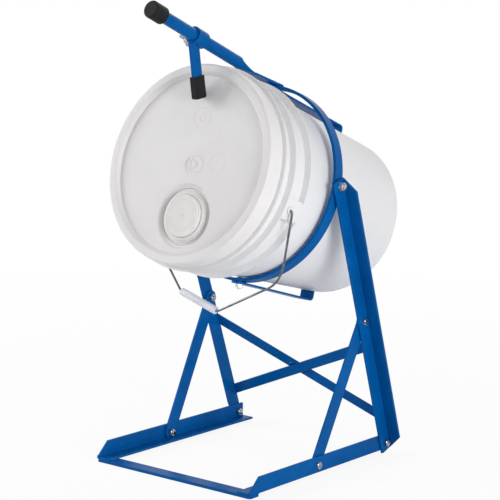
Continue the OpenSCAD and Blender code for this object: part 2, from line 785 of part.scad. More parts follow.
// Half section of the lid: panel, raised rim, rounded outer corner, skirt and snap bead
module lid_section() {
    panel = lid_ahead - panel_depth;
    top = lid_ahead - lid_wall;
    polygon([[0, panel - lid_wall], [rim_r - 3 + lid_wall, panel - lid_wall], [rim_r + lid_wall, top],
        [lid_r - rim_round - 1.8, top], [lid_r - lid_wall, top - rim_round + 0.4],
        [lid_r - lid_wall, skirt_end + 7], [bead_r, skirt_end + 4], [bead_r, skirt_end + 1.5],
        [bead_r + 1.5, skirt_end], [lid_r - 1, skirt_end], [lid_r, skirt_end + 1], [lid_r, lid_ahead - rim_round],
        [lid_r - rim_round, lid_ahead], [rim_r + 2, lid_ahead], [rim_r, lid_ahead - 2], [rim_r - 3, panel], [0, panel]]);
    translate([lid_r - rim_round, lid_ahead - rim_round]) intersection() {
        circle(rim_round, $fn = 32);
        square(rim_round);
    }
}

module pail_lid() {
    panel = lid_ahead - panel_depth;
    color(WHITE) pail(lid_turn) difference() {
        union() {
            rotate_extrude($fn = 144) lid_section();
            translate([0, 0, panel - 1]) cylinder(h = 1.8, r = 3);
            translate([0, 0, panel - 1]) difference() {
                cylinder(h = 1.6, r = 9);
                translate([0, 0, -1]) cylinder(h = 4, r = 8);
            }
            translate([0, -spout_off, panel - recess_depth - 2]) cylinder(h = recess_depth + 2, r = recess_r + 2.5);
        }
        translate([0, -spout_off, panel - recess_depth])
            cylinder(h = 2 * recess_depth, r1 = recess_r - recess_draft, r2 = recess_r + recess_draft);
        translate([0, -spout_off, panel - 2 * recess_depth]) cylinder(h = 4 * recess_depth, r = spout_r + 2.4);
    }
}

module lid_gasket() {
    color("gray") pail() rotate_extrude($fn = 180)
        translate([rim_r + lid_wall + seat, mouth + weld]) square([mouth_r - rim_r - lid_wall, gasket_t]);
}

// Ring of the spout in its recess, with a stepped rim round the cap
module spout_collar() {
    base = lid_ahead - panel_depth - recess_depth;
    color(WHITE) pail(lid_turn) translate([0, -spout_off, base + 0.02]) rotate_extrude() {
        polygon([[spout_r + 0.3, -6], [spout_r + 2.2, -6], [spout_r + 2.2, 0], [spout_r + 10, 0], [spout_r + 10, 1.6],
            [spout_r + 6.5, 1.8], [spout_r + 6, 4.6], [spout_r + 3, 5], [spout_r + 2.6, 7], [spout_r + 0.3, 7]]);
    }
}

// Cap of the spout, proud of its collar, with a rounded edge and a shallow sunk face
module spout_cap() {
    base = lid_ahead - panel_depth - recess_depth;
    color(WHITE) pail(lid_turn) translate([0, -spout_off, base]) {
        rotate_extrude() polygon([[0, -5], [spout_r + 0.2, -5], [spout_r + 0.2, 8], [spout_r - 0.4, 8.8],
            [spout_r - 1.4, 9.1], [spout_r - 2.4, 8.8], [spout_r - 3, 8.4], [0, 8.4]]);
    }
}

// Bail: local X through the ears, local -Y towards the grip

bail_swing = -5.5;
core_d = wire_d + 0.3;
grip_round = 1.5;

// Angle from the pail's ear line to the plane in which the bail hangs
bail_hang = atan2(sin(tilt), cos(tilt) * cos(pail_turn)) - bail_swing;

module bail() {
    pail(-pail_turn) translate([0, 0, ear_ahead]) rotate([bail_hang, 0, 0]) children();
}

// Each leg runs straight down into a wide bend, then slopes straight to a short bend at the grip
bow_mid = [leg_r - bail_bow, bail_leg];
bow_end = bow_mid + bail_bow * [cos(bow_turn), sin(bow_turn)];
bend_x = grip_len / 2 - 1;
slope_run = (bow_end[0] - bend_x - bail_bend * cos(bow_turn)) / sin(bow_turn);
bend_mid = [bend_x, bow_end[1] + slope_run * cos(bow_turn) - bail_bend * sin(bow_turn)];
bail_depth = bend_mid[1] + bail_bend;

// A round wire bent along an arc in the bail plane, given its middle, radius and two angles
module wire_arc(mid, r, from, to) {
    translate([mid[0], -mid[1], 0]) rotate([0, 0, -to])
        rotate_extrude(angle = to - from) translate([r, 0]) circle(d = wire_d, $fn = 24);
}

module half_bail() {
    translate([bore_r + seat, 0, 0]) rotate([0, 90, 0])
        cylinder(h = ear_r - bore_r - seat + lap, d = straight_d, $fn = 24);
    wire_arc([leg_r - bail_elbow, bail_elbow], bail_elbow, -90, 0);
    translate([leg_r, lap - bail_elbow, 0]) rotate([90, 0, 0])
        cylinder(h = bail_leg - bail_elbow + 2 * lap, d = straight_d, $fn = 24);
    wire_arc(bow_mid, bail_bow, 0, bow_turn);
    translate([bow_end[0], -bow_end[1], 0]) rotate([90, 0, 0]) rotate([0, -bow_turn, 0])
        translate([0, 0, -lap]) cylinder(h = slope_run + 2 * lap, d = straight_d, $fn = 24);
    wire_arc(bend_mid, bail_bend, bow_turn, 90);
}

module bail_wire() {
    color("dimgray") bail() {
        both() half_bail();
        translate([0, -bail_depth, 0]) rotate([0, 90, 0])
            cylinder(h = 2 * (bend_x + lap), d = core_d, center = true);
    }
}

// Plain moulded tube with rounded ends, loose on the wire
module bail_grip() {
    bore = core_d / 2 + fit;
    r = grip_d / 2;
    color(WHITE) bail() translate([-grip_len / 2, -bail_depth, 0]) rotate([0, 90, 0]) rotate_extrude() {
        polygon([[bore, 0.3], [bore + 0.3, 0], [r - grip_round, 0], [r - grip_round, grip_round], [r, grip_round],
            [r, grip_len - grip_round], [r - grip_round, grip_len - grip_round], [r - grip_round, grip_len],
            [bore + 0.3, grip_len], [bore, grip_len - 0.3]]);
        for (z = [grip_round, grip_len - grip_round]) translate([r - grip_round, z]) circle(grip_round, $fn = 32);
    }
}

left_rail();
right_rail();
front_bar();
left_upright();
right_upright();
left_brace();
right_brace();
cross_bar_front();
cross_bar_rear();
frame_bolts();
frame_nuts();
pivot_bolts();
pivot_washers();
pivot_nuts();
ring();
top_arm();
lower_arm();
handle_tube();
grip_cap();
ring_bolts();
ring_nuts();
clamp_collar();
hook_arm();
hook_tip();
wing_screw();
pail_body();
pail_lid();
lid_gasket();
spout_collar();
spout_cap();
bail_wire();
bail_grip();
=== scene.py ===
"""Looks of a pail tipper: enamelled angle-iron stand, ring cradle, moulded pail, wire bail and sliding hook."""

import json
from math import cos, pi, radians, sin

import bmesh
import bpy
import numpy as np
from mathutils import Matrix, Vector


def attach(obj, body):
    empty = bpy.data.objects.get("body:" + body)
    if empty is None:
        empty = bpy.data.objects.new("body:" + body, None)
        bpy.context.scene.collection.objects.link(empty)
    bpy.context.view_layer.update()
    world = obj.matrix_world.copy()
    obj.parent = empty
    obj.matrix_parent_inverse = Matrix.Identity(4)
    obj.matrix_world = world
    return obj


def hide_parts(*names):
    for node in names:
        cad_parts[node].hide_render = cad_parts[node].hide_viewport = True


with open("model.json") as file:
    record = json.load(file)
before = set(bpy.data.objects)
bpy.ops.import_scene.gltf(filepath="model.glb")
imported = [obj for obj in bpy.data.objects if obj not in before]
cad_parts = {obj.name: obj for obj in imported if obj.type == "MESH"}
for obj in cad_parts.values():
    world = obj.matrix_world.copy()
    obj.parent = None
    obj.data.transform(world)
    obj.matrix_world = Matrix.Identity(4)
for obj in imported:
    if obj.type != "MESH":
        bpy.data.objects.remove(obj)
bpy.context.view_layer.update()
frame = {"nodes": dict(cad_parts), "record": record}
nodes = frame["nodes"]

# Sizes shared with the solids, in metres
ORIGIN_Y = 0.195441
PIVOT = np.array([0.0, 0.200902 - ORIGIN_Y, 0.450])
TILT = radians(17)
AHEAD = np.array([0.0, -cos(TILT), sin(TILT)])
ABOVE = np.array([0.0, sin(TILT), cos(TILT)])
SIDE = np.array([1.0, 0.0, 0.0])


# ---------------------------------------------------------------- camera
YAW = radians(38.34)
PITCH = radians(8.54)
ROLL = radians(0.91)
CAMERA_PLACE = (1.63586, -1.88109 - ORIGIN_Y, 0.73279)
FOCAL_PIXELS = 1674.19
PICTURE_PIXELS = 500
SENSOR_MM = 36


def add_camera():
    """Camera at the photograph's viewing angle: yaw, pitch and roll of a long lens at the front right."""
    fwd = Vector((-sin(YAW) * cos(PITCH), cos(YAW) * cos(PITCH), -sin(PITCH)))
    right = Vector((cos(YAW), sin(YAW), 0))
    up = right.cross(fwd)
    right_rolled = right * cos(ROLL) + up * sin(ROLL)
    up_rolled = -right * sin(ROLL) + up * cos(ROLL)
    turn = Matrix((right_rolled, up_rolled, -fwd)).transposed().to_4x4()
    turn.translation = Vector(CAMERA_PLACE)
    data = bpy.data.cameras.new("camera")
    data.sensor_width = SENSOR_MM
    data.lens = FOCAL_PIXELS / PICTURE_PIXELS * SENSOR_MM
    data.clip_end = 50
    cam = bpy.data.objects.new("camera", data)
    cam.matrix_world = turn
    bpy.context.scene.collection.objects.link(cam)
    bpy.context.scene.camera = cam


add_camera()


# ---------------------------------------------------------------- shader helpers
def srgb(r, g, b):
    """Screen colour, 0 to 255, as the linear colour that the shaders take."""
    c = np.array([r, g, b]) / 255
    return (*np.where(c <= 0.04045, c / 12.92, ((c + 0.055) / 1.055) ** 2.4), 1.0)


def wire(tree, source, out, target, into):
    """Links an output of one node to an input of another."""
    tree.links.new(source.outputs[out], target.inputs[into])


def add_node(tree, kind, **settings):
    """A shader node; settings whose name is an input set that input, the others set the node."""
    node = tree.nodes.new(kind)
    for key, value in settings.items():
        name = key.replace("_", " ")
        if name in node.inputs:
            node.inputs[name].default_value = value
        else:
            setattr(node, key, value)
    return node


def new_group(name, inputs, outputs):
    """An empty node group with named sockets; an input is (name, kind, start value)."""
    group = bpy.data.node_groups.new(name, "ShaderNodeTree")
    for label, kind, value in inputs:
        socket = group.interface.new_socket(label, in_out="INPUT", socket_type="NodeSocket" + kind)
        socket.default_value = value
    for label, kind in outputs:
        group.interface.new_socket(label, in_out="OUTPUT", socket_type="NodeSocket" + kind)
    return group, group.nodes.new("NodeGroupInput"), group.nodes.new("NodeGroupOutput")


def edge_group():
    """Rounded look of worn edges: the normal of edges eased over a radius, and a mask that is 1 where it turns."""
    g, gin, gout = new_group("eased_edges", [("Radius", "Float", 0.001), ("Wear", "Float", 0.5)],
                             [("Mask", "Float"), ("Normal", "Vector")])
    bevel = add_node(g, "ShaderNodeBevel", samples=6)
    wire(g, gin, "Radius", bevel, "Radius")
    geometry = add_node(g, "ShaderNodeNewGeometry")
    dot = add_node(g, "ShaderNodeVectorMath", operation="DOT_PRODUCT")
    wire(g, bevel, "Normal", dot, 0)
    wire(g, geometry, "Normal", dot, 1)
    span = add_node(g, "ShaderNodeMapRange", From_Min=0.995, From_Max=0.80)
    wire(g, dot, "Value", span, "Value")
    coords = add_node(g, "ShaderNodeTexCoord")
    noise = add_node(g, "ShaderNodeTexNoise", Scale=130.0, Detail=5.0, Roughness=0.65)
    wire(g, coords, "Object", noise, "Vector")
    patchy = add_node(g, "ShaderNodeMapRange", From_Min=0.38, From_Max=0.62)
    wire(g, noise, "Fac", patchy, "Value")
    product = add_node(g, "ShaderNodeMath", operation="MULTIPLY")
    wire(g, span, "Result", product, 0)
    wire(g, patchy, "Result", product, 1)
    scaled = add_node(g, "ShaderNodeMath", operation="MULTIPLY", use_clamp=True)
    wire(g, product, "Value", scaled, 0)
    wire(g, gin, "Wear", scaled, 1)
    wire(g, scaled, "Value", gout, "Mask")
    wire(g, bevel, "Normal", gout, "Normal")
    return g


def mottle_group():
    """Slow blotches and fine grain on Object coordinates: two noises of different scale, and streaks of scratches."""
    g, gin, gout = new_group(
        "mottle", [("Blotch Scale", "Float", 20.0), ("Grain Scale", "Float", 600.0), ("Streak Scale", "Float", 90.0)],
        [("Blotch", "Float"), ("Grain", "Float"), ("Scratch", "Float")])
    coords = add_node(g, "ShaderNodeTexCoord")
    blotch = add_node(g, "ShaderNodeTexNoise", Detail=6.0, Roughness=0.55, Distortion=0.4)
    grain = add_node(g, "ShaderNodeTexNoise", Detail=3.0, Roughness=0.5)
    for noise, scale in ((blotch, "Blotch Scale"), (grain, "Grain Scale")):
        wire(g, coords, "Object", noise, "Vector")
        wire(g, gin, scale, noise, "Scale")
    wire(g, blotch, "Fac", gout, "Blotch")
    wire(g, grain, "Fac", gout, "Grain")
    warp = add_node(g, "ShaderNodeTexNoise", Scale=9.0, Detail=2.0)
    wire(g, coords, "Object", warp, "Vector")
    mixed = add_node(g, "ShaderNodeMix", data_type="VECTOR")
    mixed.inputs["Factor"].default_value = 0.12
    wire(g, coords, "Object", mixed, 4)
    wire(g, warp, "Color", mixed, 5)
    stretch = add_node(g, "ShaderNodeMapping", Scale=(1.0, 0.14, 0.9), Rotation=(0.3, 0.5, 0.7))
    wire(g, mixed, 1, stretch, "Vector")
    cells = add_node(g, "ShaderNodeTexVoronoi", feature="DISTANCE_TO_EDGE")
    wire(g, stretch, "Vector", cells, "Vector")
    wire(g, gin, "Streak Scale", cells, "Scale")
    line = add_node(g, "ShaderNodeMapRange", From_Min=0.018, From_Max=0.0)
    wire(g, cells, "Distance", line, "Value")
    here = add_node(g, "ShaderNodeMapRange", From_Min=0.55, From_Max=0.70)
    wire(g, blotch, "Fac", here, "Value")
    both = add_node(g, "ShaderNodeMath", operation="MULTIPLY")
    wire(g, line, "Result", both, 0)
    wire(g, here, "Result", both, 1)
    wire(g, both, "Value", gout, "Scratch")
    return g


EDGES = edge_group()
MOTTLE = mottle_group()


def finish_material(name, base, low, high, worn, rough, metallic=0.0, blotch=20.0, grain=600.0, streak=90.0,
                    edge=0.0012, wear=0.5, scratch=0.3, bump=0.05, **fixed):
    """A finish: its colour drifts between two tones with the blotches, turns to the worn colour on edges and
    scratches, its roughness drifts with both, and the grain raises it. fixed sets the shader's own sockets."""
    m = bpy.data.materials.new(name)
    m.use_nodes = True
    t = m.node_tree
    shader = t.nodes["Principled BSDF"]
    shader.inputs["Metallic"].default_value = metallic
    for key, value in fixed.items():
        shader.inputs[key.replace("_", " ")].default_value = value
    mottle = add_node(t, "ShaderNodeGroup", node_tree=MOTTLE)
    mottle.inputs["Blotch Scale"].default_value = blotch
    mottle.inputs["Grain Scale"].default_value = grain
    mottle.inputs["Streak Scale"].default_value = streak
    edges = add_node(t, "ShaderNodeGroup", node_tree=EDGES)
    edges.inputs["Radius"].default_value = edge
    edges.inputs["Wear"].default_value = wear
    tones = add_node(t, "ShaderNodeValToRGB")
    ramp = tones.color_ramp
    ramp.elements[0].position, ramp.elements[0].color = 0.3, low
    ramp.elements[1].position, ramp.elements[1].color = 0.72, high
    middle = ramp.elements.new(0.5)
    middle.color = base
    wire(t, mottle, "Blotch", tones, "Fac")
    marks = add_node(t, "ShaderNodeMath", operation="MULTIPLY_ADD", use_clamp=True)
    marks.inputs[1].default_value = scratch
    wire(t, mottle, "Scratch", marks, 0)
    wire(t, edges, "Mask", marks, 2)
    colour = add_node(t, "ShaderNodeMix", data_type="RGBA")
    colour.inputs[7].default_value = worn
    wire(t, marks, "Value", colour, "Factor")
    wire(t, tones, "Color", colour, 6)
    wire(t, colour, 2, shader, "Base Color")
    gloss = add_node(t, "ShaderNodeMapRange", From_Min=0.25, From_Max=0.75, To_Min=rough[0], To_Max=rough[1])
    wire(t, mottle, "Blotch", gloss, "Value")
    dull = add_node(t, "ShaderNodeMath", operation="MULTIPLY_ADD", use_clamp=True)
    dull.inputs[1].default_value = 0.25
    wire(t, marks, "Value", dull, 0)
    wire(t, gloss, "Result", dull, 2)
    wire(t, dull, "Value", shader, "Roughness")
    height = add_node(t, "ShaderNodeMath", operation="MULTIPLY_ADD")
    height.inputs[1].default_value = -0.6
    wire(t, mottle, "Scratch", height, 0)
    wire(t, mottle, "Grain", height, 2)
    relief = add_node(t, "ShaderNodeBump", Strength=bump, Distance=0.0006)
    wire(t, height, "Value", relief, "Height")
    wire(t, edges, "Normal", relief, "Normal")
    wire(t, relief, "Normal", shader, "Normal")
    return m


blue_enamel = finish_material(
    "blue_enamel", srgb(2, 88, 158), srgb(1, 82, 149), srgb(3, 94, 167), srgb(58, 118, 170), (0.20, 0.30),
    blotch=16, grain=420, edge=0.0008, wear=0.30, scratch=0.10, bump=0.12, Specular_IOR_Level=0.05)
zinc_plate = finish_material(
    "zinc_plate", srgb(186, 188, 191), srgb(160, 162, 166), srgb(206, 206, 204), srgb(222, 222, 220), (0.24, 0.42),
    metallic=1.0, blotch=140, grain=1500, edge=0.0004, wear=0.5, scratch=0.4, bump=0.12)
wire_steel = finish_material(
    "wire_steel", srgb(112, 114, 117), srgb(88, 90, 93), srgb(140, 142, 144), srgb(180, 180, 180), (0.24, 0.38),
    metallic=1.0, blotch=60, grain=1800, streak=300, edge=0.0002, wear=0.2, scratch=0.5, bump=0.10)
pail_moulding = finish_material(
    "pail_moulding", srgb(232, 232, 234), srgb(229, 229, 231), srgb(236, 236, 237), srgb(241, 241, 242), (0.36, 0.46),
    blotch=9, grain=900, streak=45, edge=0.0005, wear=0.2, scratch=0.10, bump=0.06, Specular_IOR_Level=0.2)
lid_moulding = finish_material(
    "lid_moulding", srgb(230, 228, 228), srgb(227, 225, 225), srgb(234, 232, 232), srgb(240, 239, 239), (0.42, 0.54),
    blotch=12, grain=700, streak=45, edge=0.0005, wear=0.2, scratch=0.12, bump=0.10, Specular_IOR_Level=0.2)
spout_moulding = finish_material(
    "spout_moulding", srgb(232, 230, 229), srgb(228, 226, 225), srgb(236, 234, 233), srgb(240, 239, 238), (0.34, 0.46),
    blotch=30, grain=1100, edge=0.0004, wear=0.2, scratch=0.10, bump=0.06, Specular_IOR_Level=0.2)
grip_moulding = finish_material(
    "grip_moulding", srgb(222, 224, 230), srgb(214, 217, 224), srgb(230, 232, 236), srgb(240, 240, 242), (0.28, 0.40),
    blotch=50, grain=1300, edge=0.0004, wear=0.3, scratch=0.2, bump=0.06, Specular_IOR_Level=0.2)
black_rubber = finish_material(
    "black_rubber", srgb(31, 32, 34), srgb(25, 26, 28), srgb(37, 38, 40), srgb(54, 55, 57), (0.52, 0.68),
    blotch=45, grain=1500, streak=160, edge=0.0008, wear=0.5, scratch=0.2, bump=0.30, Specular_IOR_Level=0.12)
grey_gasket = finish_material(
    "grey_gasket", srgb(150, 150, 148), srgb(140, 140, 138), srgb(160, 160, 158), srgb(175, 175, 172), (0.6, 0.75),
    blotch=60, grain=1400, edge=0.0004, wear=0.2, scratch=0.0, bump=0.2)
weld_metal = finish_material(
    "weld_under_enamel", srgb(2, 84, 152), srgb(1, 74, 138), srgb(6, 92, 164), srgb(60, 118, 168), (0.22, 0.34),
    blotch=120, grain=700, edge=0.0005, wear=0.2, scratch=0.1, bump=0.30, Specular_IOR_Level=0.2)

FINISH = {
    "blue_paint": blue_enamel, "zinc": zinc_plate, "handle_cap": black_rubber, "pail_plastic": pail_moulding,
    "rubber": black_rubber, "gasket": grey_gasket, "wire": wire_steel, "cap_plastic": spout_moulding,
    "grip_plastic": grip_moulding,
}


def dress(name, material):
    """Gives a carried-over solid its finish and shades its curved faces smooth, its real edges sharp."""
    mesh = nodes[name].data
    mesh.materials.clear()
    mesh.materials.append(material)
    mesh.shade_smooth()


for part in frame["record"]["subparts"]:
    dress(part["node"], FINISH[part["material_slot"]])
dress("pail_lid", lid_moulding)


# ---------------------------------------------------------------- surfaces
SAME_POINT = 1e-7


def grid_faces(rows, columns, wrap):
    """Quads of a grid of rows by columns; with wrap, the last column joins the first."""
    i, j = np.meshgrid(np.arange(rows - 1), np.arange(columns if wrap else columns - 1), indexing="ij")
    k = (j + 1) % columns
    return np.stack([i * columns + j, i * columns + k, (i + 1) * columns + k, (i + 1) * columns + j], -1).reshape(-1, 4)


def add_surface(name, patches, material, body):
    """One piece from patches. A patch is a grid of points (rows, columns, 3), whether its last column joins the
    first, and whether its ends are closed; each grid becomes quads, and a closed end gets a fan to its middle."""
    points, faces, base = [], [], 0
    for grid, wrap, ends in patches:
        rows, columns = grid.shape[:2]
        points.append(grid.reshape(-1, 3))
        faces += (grid_faces(rows, columns, wrap) + base).tolist()
        base += rows * columns
        if ends:
            for row, flip in ((0, True), (rows - 1, False)):
                points.append(grid[row].mean(0)[None])
                ring = base - rows * columns - (1 if row else 0) + row * columns + np.arange(columns)
                nxt = np.roll(ring, -1)
                mid = np.full(columns, base)
                fan = np.stack([nxt, ring, mid] if flip else [ring, nxt, mid], -1)
                faces += fan.tolist()
                base += 1
    mesh = bpy.data.meshes.new(name)
    mesh.from_pydata(np.concatenate(points).tolist(), [], faces)
    mesh.validate()
    mesh.shade_smooth()
    mesh.materials.append(material)
    piece = bpy.data.objects.new(name, mesh)
    bpy.context.scene.collection.objects.link(piece)
    close_and_face_outwards(mesh)
    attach(piece, body)
    return piece


def closed_tubes(grids):
    """Patches for add_surface from grids that wrap round and are capped at both ends."""
    return [(grid, True, True) for grid in grids]


def close_and_face_outwards(mesh):
    """Joins the points that coincide where a surface meets itself, then turns every face outwards."""
    b = bmesh.new()
    b.from_mesh(mesh)
    bmesh.ops.remove_doubles(b, verts=b.verts, dist=SAME_POINT)
    bmesh.ops.recalc_face_normals(b, faces=b.faces)
    b.to_mesh(mesh)
    b.free()


def unit(v):
    """The direction of v, with length 1."""
    v = np.asarray(v, float)
    return v / np.linalg.norm(v)


def square_frame(axis):
    """Two unit directions square to an axis, the first as near as it can be to upright."""
    axis = unit(axis)
    first = np.array((0.0, 0.0, 1.0)) - axis * axis[2]
    if np.linalg.norm(first) < 1e-6:
        first = np.cross(axis, (1.0, 0.0, 0.0))
    first = unit(first)
    return first, np.cross(axis, first)


def revolve(origin, axis, profile, sides):
    """Surface of revolution: each profile point (radius, height) turns round the axis through origin."""
    first, second = square_frame(axis)
    turn = np.arange(sides) * 2 * pi / sides
    profile = np.asarray(profile, float)
    ring = np.cos(turn)[:, None] * first + np.sin(turn)[:, None] * second
    return np.asarray(origin) + profile[:, 0][:, None, None] * ring[None] + profile[:, 1][:, None, None] * unit(axis)


def weld_bead(start, end, width, lift, facing, seed, ripple=0.0014):
    """A weld run: a round-backed strip from start to end whose height and width swell once per ripple length,
    with a little seeded wander, and whose ends run out to nothing."""
    start, end = np.asarray(start, float), np.asarray(end, float)
    length = np.linalg.norm(end - start)
    rows = max(12, int(length / ripple * 5))
    s = np.linspace(0, 1, rows)
    along = (end - start) / length
    facing = unit(np.asarray(facing, float) - along * np.dot(facing, along))
    across = np.cross(along, facing)
    rng = np.random.default_rng(seed)
    phase = s * length / ripple
    scallop = np.abs(np.sin(pi * phase)) ** 0.6
    knots = rng.uniform(-1, 1, 8)
    wander = np.interp(s, np.linspace(0, 1, 8), knots)
    taper = np.clip(np.minimum(s, 1 - s) * length / (width * 0.45), 0.02, 1) ** 0.5
    half = width / 2 * (0.86 + 0.14 * scallop + 0.06 * wander) * taper
    rise = lift * (0.78 + 0.22 * scallop + 0.08 * wander) * taper
    turn = np.linspace(0, 2 * pi, 20, endpoint=False)
    shape_across, shape_up = np.cos(turn), np.sin(turn)
    centre = start + s[:, None] * (end - start)
    lean = (ripple * 0.5 * shape_up[None, :]) * taper[:, None]
    return (centre[:, None] + half[:, None, None] * shape_across[None, :, None] * across
            + rise[:, None, None] * shape_up[None, :, None] * facing + lean[..., None] * along)


def thread(origin, axis, radius, length, pitch=0.0012, sides=28):
    """Screw thread: a tube whose radius is a rounded saw of turn and height, so that its crest climbs one pitch
    a turn; both ends draw in to a chamfer."""
    rows = max(10, int(length / pitch * 8))
    h = np.linspace(0, length, rows)
    turn = np.arange(sides) * 2 * pi / sides
    phase = (h[:, None] / pitch - turn[None] / (2 * pi)) % 1
    crest = 1 - np.abs(2 * phase - 1)
    ease = np.clip(np.minimum(h, length - h) / (pitch * 0.6), 0, 1)[:, None]
    r = radius - 0.00045 * (1 - crest) - 0.0004 * (1 - ease)
    first, second = square_frame(axis)
    ring = np.cos(turn)[:, None] * first + np.sin(turn)[:, None] * second
    return np.asarray(origin) + r[..., None] * ring[None] + h[:, None, None] * unit(axis)


def cradle_point(x, ahead, above):
    """A place in the cradle in metres: across, ahead along the pail, and square to both."""
    return PIVOT + x * SIDE + ahead * AHEAD + above * ABOVE


# ---------------------------------------------------------------- stand: welds and threads
# Sizes of the stand in millimetres
MM = 0.001
LEAN = radians(19.5)
HALF_WIDTH = 155.5
HEEL_Y = 371.5
CROSS_Z = 124.0
CROSS_RISE = 64.0 / cos(LEAN)
CROSS_THICK = 3.2
CROSS_HALF_WELD = 9.5
LEG_THICK = 3.2
GAUGE = 10.6
PIVOT_Z = 450.0
SPLAY = 5.65 / PIVOT_Z
BRACE_GAP = 0.5
BRACE_FOOT_Y = 170.0
RAIL_BOLT_Z = 16.0
BRACE_TOP_Z = 229.0
NUT_HEIGHT = 5.6
WASHER_THICK = 1.6
PIVOT_PLAY = 0.35
RING_BOLT_X = 8.0
LOW_NUT_END = -175.8
TOP_NUT_END = 136.3

# Thread sizes in metres
SHANK_RADIUS = 3.15 * MM
PIVOT_SHANK_RADIUS = 3.95 * MM
THREAD_PROUD = 0.16 * MM
THREAD_LENGTH = 2.2 * MM
THREAD_PITCH = 1.1 * MM
PIVOT_THREAD_PITCH = 1.25 * MM


def stand_point(x, y, z):
    """A place on the stand, given in millimetres from its front edge, in metres of the shared frame."""
    return np.array([x * MM, y * MM - ORIGIN_Y, z * MM])


def crossing_point(x, along, depth):
    """A place in the leaning plane of the cross bars: across, up the lean from their crossing, and back from it."""
    y = HEEL_Y - CROSS_Z * np.tan(LEAN) + depth * cos(LEAN) - along * sin(LEAN)
    return stand_point(x, y, CROSS_Z + depth * sin(LEAN) + along * cos(LEAN))


def inner_face(z):
    """Half the clear width between the uprights at a height."""
    return HALF_WIDTH + z * SPLAY


def stand_welds():
    """Runs where the cross bars meet the uprights and each other, and where the rails meet the front bar."""
    runs, seed = [], 10
    back = np.array([0, cos(LEAN), sin(LEAN)])
    for side in (-1, 1):
        for slope, depth, face in ((1, -2 * CROSS_THICK, -1), (-1, 0.0, 1)):
            along = side * slope * CROSS_RISE
            x = side * inner_face(CROSS_Z + along * cos(LEAN)) - side * 0.3
            low, high = (crossing_point(x, along + step, depth) for step in (-CROSS_HALF_WELD, CROSS_HALF_WELD))
            runs.append(weld_bead(low, high, width=5.2 * MM, lift=2.0 * MM, facing=face * back - side * SIDE * 0.8,
                                  seed=seed))
            seed += 1
        runs.append(weld_bead(stand_point(side * 130.1, 2.0, 4.9), stand_point(side * 130.1, 22.5, 4.9),
                              width=5.0 * MM, lift=2.3 * MM, facing=(-side * 0.8, 0, 1), seed=seed))
        runs.append(weld_bead(stand_point(side * 132, 24.0, 4.4), stand_point(side * 154, 24.0, 4.4),
                              width=4.2 * MM, lift=1.8 * MM, facing=(0, 1, -0.4), seed=seed + 40))
        seed += 1
    for face in (-1, 1):
        for end in (-1, 1):
            a = crossing_point(end * 19.0, face * 5.0, -CROSS_THICK)
            b = crossing_point(end * 9.0, face * 9.0, -CROSS_THICK)
            runs.append(weld_bead(a, b, width=3.6 * MM, lift=1.6 * MM, facing=face * back, seed=seed))
            seed += 1
    add_surface("stand_weld_runs", closed_tubes(runs), weld_metal, "stand")


def gauge_y(z):
    """How far back the bolts of an upright sit at a height."""
    return HEEL_Y - z * np.tan(LEAN) - GAUGE / cos(LEAN)


def shank_end(start, axis):
    """The threaded end of one frame or ring bolt, a hair prouder than the plain shank under it."""
    return thread(start, axis, SHANK_RADIUS + THREAD_PROUD, THREAD_LENGTH, pitch=THREAD_PITCH)


def bolt_threads():
    """Thread on every shank end that stands out of a nut."""
    inner = HALF_WIDTH + 0.05
    seats = [(HALF_WIDTH - LEG_THICK - BRACE_GAP - CROSS_THICK - 0.45, BRACE_FOOT_Y, RAIL_BOLT_Z),
             (HALF_WIDTH - LEG_THICK - 0.05, gauge_y(RAIL_BOLT_Z), RAIL_BOLT_Z),
             (inner + BRACE_TOP_Z * SPLAY - BRACE_GAP - CROSS_THICK - 0.45, gauge_y(BRACE_TOP_Z), BRACE_TOP_Z)]
    ends = [shank_end(stand_point(side * (x - NUT_HEIGHT), y, z), -side * SIDE)
            for side in (-1, 1) for x, y, z in seats]
    add_surface("frame_bolt_threads", closed_tubes(ends), zinc_plate, "stand")
    pivot_x = inner + PIVOT_Z * SPLAY + LEG_THICK + PIVOT_PLAY + WASHER_THICK + NUT_HEIGHT
    ends = [thread(np.array([side * pivot_x * MM, PIVOT[1], PIVOT[2]]), side * SIDE, PIVOT_SHANK_RADIUS + THREAD_PROUD,
                   THREAD_LENGTH + 0.0002, pitch=PIVOT_THREAD_PITCH) for side in (-1, 1)]
    add_surface("pivot_bolt_threads", closed_tubes(ends), zinc_plate, "stand")
    ends = [shank_end(cradle_point(x * MM, 0, above * MM), -ABOVE)
            for x, above in ((RING_BOLT_X, LOW_NUT_END), (0.0, TOP_NUT_END))]
    add_surface("ring_bolt_threads", closed_tubes(ends), zinc_plate, "cradle")


# ---------------------------------------------------------------- clamp welds
HANDLE_SLOPE = radians(4.7)
TUBE_DIR = AHEAD * cos(HANDLE_SLOPE) + ABOVE * sin(HANDLE_SLOPE)
TUBE_UP = ABOVE * cos(HANDLE_SLOPE) - AHEAD * sin(HANDLE_SLOPE)
CRUSH_END = 0.102
TUBE_ABOVE = 0.16205
COLLAR_AT = 0.207


def clamp_point(x, along, above):
    """A place by the sliding collar: across, along the tube from the collar's middle, and above the tube's axis."""
    return (PIVOT + AHEAD * CRUSH_END + ABOVE * TUBE_ABOVE + TUBE_DIR * (COLLAR_AT - CRUSH_END + along)
            + SIDE * x + TUBE_UP * above)


def clamp_welds():
    """Two short runs that join the hook arm to the collar, one on each side."""
    runs = []
    for side in (-1, 1):
        a, b = (clamp_point(side * 0.0029, along, -0.0131) for along in (0.0035, 0.0120))
        runs.append(weld_bead(a, b, width=0.0040, lift=0.0019, facing=side * SIDE - TUBE_UP, seed=70 + side))
    add_surface("hook_weld_runs", closed_tubes(runs), weld_metal, "clamp")


